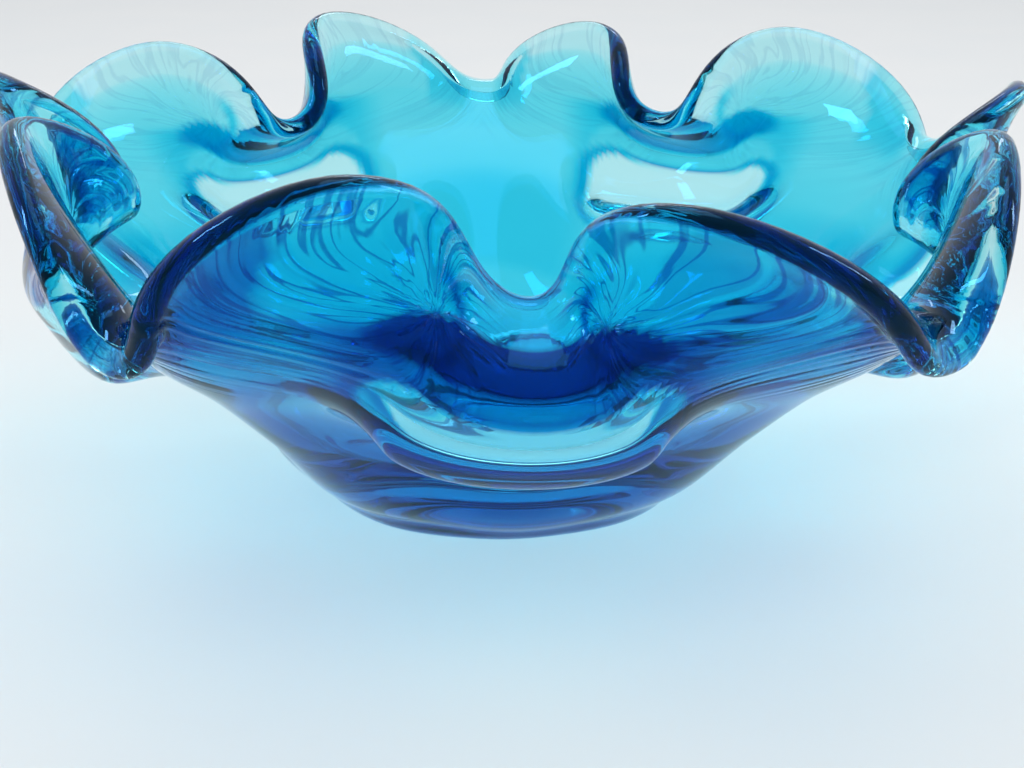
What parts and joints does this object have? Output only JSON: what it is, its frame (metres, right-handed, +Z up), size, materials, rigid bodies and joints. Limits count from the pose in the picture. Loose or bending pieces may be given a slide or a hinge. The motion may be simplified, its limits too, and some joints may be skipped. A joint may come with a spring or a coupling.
{
  "type": "art glass bowl",
  "caption": "Heavy hot-formed turquoise glass bowl with a deeply ruffled and folded rim, clear oval windows in its bellies and a ground flat foot.",
  "frame": {"origin": "centre of the bounding box's bottom face, in the plane of the ground foot", "axes": "+Z up out of the bowl's mouth; -Y towards the front dip of the rim; +X to the right seen from the front"},
  "size_m": [0.2882, 0.2778, 0.114],
  "materials": {
    "casing_glass": "fire-polished, high gloss",
    "colour_glass": "submerged, seen through the casing",
    "lining_glass": "fire-polished, high gloss"
  },
  "bodies": {
    "root": {"clear_outer_casing": "casing_glass", "blue_colour_layer": "colour_glass", "clear_inner_lining": "lining_glass"}
  },
  "joints": []
}
